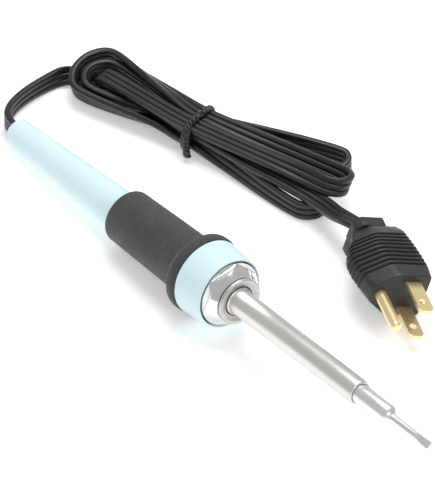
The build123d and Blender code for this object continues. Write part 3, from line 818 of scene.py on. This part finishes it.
def build_grain():
    """Fine moulded or rolled grain as a normal, from two sizes of noise."""
    group, given, result = new_group("grain", [
        ("Vector", "NodeSocketVector", None), ("Scale", "NodeSocketFloat", 900.0),
        ("Strength", "NodeSocketFloat", 0.2), ("Depth", "NodeSocketFloat", 0.0001),
    ], [("Normal", "NodeSocketVector"), ("Height", "NodeSocketFloat")])
    fine = group.nodes.new("ShaderNodeTexNoise")
    fine.inputs["Detail"].default_value = 3.0
    coarse = group.nodes.new("ShaderNodeTexNoise")
    coarse.inputs["Detail"].default_value = 2.0
    third = group.nodes.new("ShaderNodeMath")
    third.operation = "MULTIPLY"
    third.inputs[1].default_value = 0.3
    both = group.nodes.new("ShaderNodeMath")
    both.operation = "ADD"
    bump = group.nodes.new("ShaderNodeBump")
    for noise in (fine, coarse):
        link(group, given.outputs["Vector"], noise.inputs["Vector"])
    link(group, given.outputs["Scale"], fine.inputs["Scale"])
    link(group, given.outputs["Scale"], third.inputs[0])
    link(group, third.outputs[0], coarse.inputs["Scale"])
    link(group, fine.outputs["Fac"], both.inputs[0])
    link(group, coarse.outputs["Fac"], both.inputs[1])
    link(group, both.outputs[0], bump.inputs["Height"])
    link(group, given.outputs["Strength"], bump.inputs["Strength"])
    link(group, given.outputs["Depth"], bump.inputs["Distance"])
    link(group, bump.outputs["Normal"], result.inputs["Normal"])
    link(group, both.outputs[0], result.inputs["Height"])
    return group


def build_cells():
    """Open foam cells: pits with paler walls, as a mask and a normal; the dark that the mask brings into the
    pits is painted shade.
    """
    group, given, result = new_group("foam_cells", [
        ("Vector", "NodeSocketVector", None), ("Scale", "NodeSocketFloat", 1500.0),
        ("Strength", "NodeSocketFloat", 0.5), ("Depth", "NodeSocketFloat", 0.0002),
    ], [("Normal", "NodeSocketVector"), ("Mask", "NodeSocketFloat")])
    cells = group.nodes.new("ShaderNodeTexVoronoi")
    cells.feature = "F1"
    spread = group.nodes.new("ShaderNodeMapRange")
    spread.inputs["From Min"].default_value = 0.1
    spread.inputs["From Max"].default_value = 0.75
    bump = group.nodes.new("ShaderNodeBump")
    link(group, given.outputs["Vector"], cells.inputs["Vector"])
    link(group, given.outputs["Scale"], cells.inputs["Scale"])
    link(group, cells.outputs["Distance"], spread.inputs["Value"])
    link(group, spread.outputs["Result"], bump.inputs["Height"])
    link(group, given.outputs["Strength"], bump.inputs["Strength"])
    link(group, given.outputs["Depth"], bump.inputs["Distance"])
    link(group, bump.outputs["Normal"], result.inputs["Normal"])
    link(group, spread.outputs["Result"], result.inputs["Mask"])
    return group


MOTTLE, GRAIN, CELLS = build_mottle(), build_grain(), build_cells()


def use_group(tree, group, vector, **values):
    node = tree.nodes.new("ShaderNodeGroup")
    node.node_tree = group
    link(tree, vector, node.inputs["Vector"])
    for key, value in values.items():
        node.inputs[key].default_value = value
    return node


def finish(name, light, dark, rough, metallic=0.0, clouds=60.0, grain=(900.0, 0.15, 0.0001),
           stretch=(1, 1, 1), cells=None, ior=1.5, specular=None, **shader):
    """A material: colour drifting between two tones, roughness between two values, and a fine grain."""
    material = bpy.data.materials.new(name)
    material.use_nodes = True
    tree = material.node_tree
    surface = tree.nodes["Principled BSDF"]
    surface.inputs["Metallic"].default_value = metallic
    surface.inputs["IOR"].default_value = ior
    if specular is not None:
        surface.inputs["Specular IOR Level"].default_value = specular
    for key, value in shader.items():
        surface.inputs[key.replace("_", " ")].default_value = value
    where = tree.nodes.new("ShaderNodeTexCoord")
    turn = tree.nodes.new("ShaderNodeMapping")
    turn.inputs["Rotation"].default_value = (0, IRON_TILT, 0)
    turn.inputs["Scale"].default_value = stretch
    link(tree, where.outputs["Object"], turn.inputs["Vector"])
    vector = turn.outputs["Vector"]
    tone = use_group(tree, MOTTLE, vector, Scale=clouds)
    colour = tree.nodes.new("ShaderNodeMix")
    colour.data_type = "RGBA"
    colour.inputs["A"].default_value = (*dark, 1)
    colour.inputs["B"].default_value = (*light, 1)
    link(tree, tone.outputs["Value"], colour.inputs["Factor"])
    shine = use_group(tree, MOTTLE, vector, Scale=clouds * 2.3, Low=rough[0], High=rough[1])
    link(tree, shine.outputs["Value"], surface.inputs["Roughness"])
    if cells:
        scale, strength, depth, pit_shade_colour = cells
        pores = use_group(tree, CELLS, vector, Scale=scale, Strength=strength, Depth=depth)
        # the cells' pits take a darker colour: painted shade in the foam's hollows, with the foam's own tone
        # on the walls
        painted_pit_shade = tree.nodes.new("ShaderNodeMix")
        painted_pit_shade.data_type = "RGBA"
        painted_pit_shade.inputs["A"].default_value = (*pit_shade_colour, 1)
        link(tree, pores.outputs["Mask"], painted_pit_shade.inputs["Factor"])
        link(tree, colour.outputs["Result"], painted_pit_shade.inputs["B"])
        link(tree, painted_pit_shade.outputs["Result"], surface.inputs["Base Color"])
        link(tree, pores.outputs["Normal"], surface.inputs["Normal"])
    else:
        scale, strength, depth = grain
        texture = use_group(tree, GRAIN, vector, Scale=scale, Strength=strength, Depth=depth)
        link(tree, texture.outputs["Normal"], surface.inputs["Normal"])
        link(tree, colour.outputs["Result"], surface.inputs["Base Color"])
    return material


FINISHES = {
    "handle_blue": finish("pale_blue_moulding", (0.72, 0.90, 0.965), (0.68, 0.875, 0.95), (0.34, 0.42),
                          clouds=25, grain=(1400, 0.05, 0.00005), Subsurface_Weight=0.15,
                          Subsurface_Radius=(0.002, 0.003, 0.004)),
    # the last value in cells is the painted shade colour put into the foam's pits
    "grip_foam": finish("charcoal_foam", (0.062, 0.060, 0.057), (0.044, 0.043, 0.041), (0.58, 0.72),
                        clouds=90, cells=(1700, 0.45, 0.0002, (0.02, 0.02, 0.019)),
                        Sheen_Weight=0.12, Sheen_Roughness=0.5),
    "nut_chrome": finish("bright_chrome", (0.88, 0.88, 0.87), (0.76, 0.76, 0.75), (0.1, 0.18), 0.95,
                         clouds=200, grain=(1500, 0.05, 0.00003)),
    "ring_steel": finish("grained_steel", (0.72, 0.71, 0.69), (0.5, 0.49, 0.47), (0.4, 0.55), 1.0,
                         clouds=1400, grain=(2200, 0.5, 0.0001)),
    "barrel_steel": finish("drawn_steel", (0.80, 0.785, 0.75), (0.68, 0.665, 0.62), (0.28, 0.38), 0.85,
                           clouds=120, stretch=(0.12, 1, 1), grain=(1600, 0.05, 0.00003)),
    "tip_plating": finish("tip_plating", (0.84, 0.84, 0.83), (0.74, 0.74, 0.72), (0.24, 0.34), 0.85,
                          clouds=200, grain=(1500, 0.04, 0.00003)),
    "cord_jacket": finish("cord_jacket", (0.017, 0.0165, 0.018), (0.010, 0.0098, 0.011), (0.32, 0.42),
                          clouds=120, grain=(1300, 0.12, 0.00008)),
    "tie_plastic": finish("tie_plastic", (0.022, 0.022, 0.02), (0.014, 0.014, 0.012), (0.1, 0.18), clouds=400,
                          grain=(1300, 0.05, 0.00005)),
    "plug_moulding": finish("plug_rubber", (0.026, 0.026, 0.027), (0.018, 0.018, 0.019), (0.42, 0.52),
                            clouds=90, grain=(1500, 0.2, 0.0001)),
    "pin_brass": finish("plug_brass", (0.97, 0.80, 0.46), (0.90, 0.71, 0.37), (0.24, 0.32), 0.75, clouds=60,
                        grain=(600, 0.015, 0.00002)),
    "sensor_alloy": finish("sensor_alloy", (0.55, 0.53, 0.5), (0.42, 0.4, 0.38), (0.35, 0.45), 1.0),
    "zinc_steel": finish("zinc_steel", (0.62, 0.63, 0.64), (0.5, 0.51, 0.52), (0.3, 0.45), 1.0, clouds=300),
    "heater_steel": finish("heater_steel", (0.5, 0.46, 0.4), (0.36, 0.33, 0.3), (0.35, 0.5), 1.0, clouds=200),
    "mica": finish("mica_sheet", (0.62, 0.5, 0.32), (0.5, 0.38, 0.22), (0.3, 0.5), clouds=500),
    "winding_alloy": finish("winding_alloy", (0.45, 0.43, 0.4), (0.33, 0.31, 0.29), (0.35, 0.5), 1.0),
    "switch_resin": finish("brown_resin", (0.16, 0.07, 0.035), (0.11, 0.05, 0.025), (0.35, 0.5)),
    "contact_silver": finish("contact_silver", (0.85, 0.84, 0.8), (0.72, 0.71, 0.68), (0.2, 0.35), 1.0),
    "spring_steel": finish("spring_steel", (0.55, 0.55, 0.56), (0.45, 0.45, 0.46), (0.25, 0.35), 1.0),
    "magnet_alloy": finish("magnet_alloy", (0.3, 0.29, 0.28), (0.2, 0.2, 0.19), (0.4, 0.55), 1.0),
    "clamp_plastic": finish("clamp_plastic", (0.06, 0.06, 0.06), (0.045, 0.045, 0.045), (0.45, 0.6)),
    "wire_black": finish("wire_black", (0.03, 0.03, 0.03), (0.022, 0.022, 0.022), (0.35, 0.45)),
    "wire_white": finish("wire_white", (0.78, 0.77, 0.74), (0.7, 0.69, 0.66), (0.35, 0.45)),
    "wire_green": finish("wire_green", (0.05, 0.3, 0.1), (0.035, 0.24, 0.075), (0.35, 0.45)),
}


def paint(obj, slot):
    obj.data.materials.clear()
    obj.data.materials.append(FINISHES[slot])


def node_slot(node):
    return next(part["material_slot"] for part in frame["record"]["subparts"] if part["node"] == node)


PIECES = [
    (handle, "root", "handle_blue", ["handle"]),
    (grip, "root", "grip_foam", ["foam_grip"]),
    (nut, "nut", "nut_chrome", ["barrel_nut"]),
    (ring, "nut", "ring_steel", ["nut_front_ring"]),
    (barrel, "barrel_assembly", "barrel_steel", ["barrel"]),
    (ferrule, "barrel_assembly", "barrel_steel", ["barrel_ferrule"]),
    (tip, "barrel_assembly", "tip_plating", ["tip"]),
    (plug_body, "root", "plug_moulding", ["plug_body"]),
    (plug_neck, "root", "plug_moulding", ["plug_body"]),
    (plug_fin, "root", "plug_moulding", ["plug_body"]),
    (cord, "root", "cord_jacket", ["power_cord_lead", "cord_hank", "power_cord_plug_end"]),
    (tie, "root", "tie_plastic", ["cord_tie"]),
]
replaced = set()
for piece, body, slot, nodes in PIECES:
    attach(piece, body)
    paint(piece, slot)
    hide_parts(*nodes)
    replaced.update(nodes)

for node, obj in frame["nodes"].items():
    if node not in replaced:
        paint(obj, node_slot(node))


# ---------------------------------------------------------------- floor and light
FLOOR_GLOW = 0.35             # a lit table, so that the shadows stay faint
ROOM_LIGHT, OVERHEAD_WATTS, SIDE_WATTS = 0.5, 20, 3


def plain_white(name, tone, rough):
    material = bpy.data.materials.new(name)
    material.use_nodes = True
    surface = material.node_tree.nodes["Principled BSDF"]
    surface.inputs["Base Color"].default_value = (tone, tone, tone, 1)
    surface.inputs["Roughness"].default_value = rough
    surface.inputs["Emission Color"].default_value = (1, 1, 1, 1)
    surface.inputs["Emission Strength"].default_value = FLOOR_GLOW
    return material


def make_floor():
    bpy.ops.object.select_all(action="DESELECT")
    bpy.ops.mesh.primitive_plane_add(size=6.0, location=(0, 0, -0.0002))
    floor = bpy.context.object
    floor.name = "floor"
    bpy.ops.object.transform_apply(location=True, rotation=True, scale=True)
    floor.data.materials.append(plain_white("floor_white", 0.93, 0.9))


def soft_light(name, place_at, size, power):
    data = bpy.data.lights.new(name, "AREA")
    data.shape = "DISK"
    data.size = size
    data.energy = power
    light = bpy.data.objects.new(name, data)
    light.location = place_at
    light.rotation_euler = (-Vector(place_at)).to_track_quat("-Z", "Y").to_euler()
    bpy.context.scene.collection.objects.link(light)


def make_lights():
    world = bpy.data.worlds.new("studio")
    bpy.context.scene.world = world
    world.use_nodes = True
    world.node_tree.nodes["Background"].inputs["Color"].default_value = (1.0, 1.0, 1.0, 1)
    world.node_tree.nodes["Background"].inputs["Strength"].default_value = ROOM_LIGHT
    soft_light("overhead", (-0.3, 0.5, 1.6), 1.3, OVERHEAD_WATTS)
    soft_light("side_fill", (1.4, -0.2, 0.9), 0.9, SIDE_WATTS)


make_floor()
make_lights()
bpy.context.scene.view_settings.view_transform = "Standard"
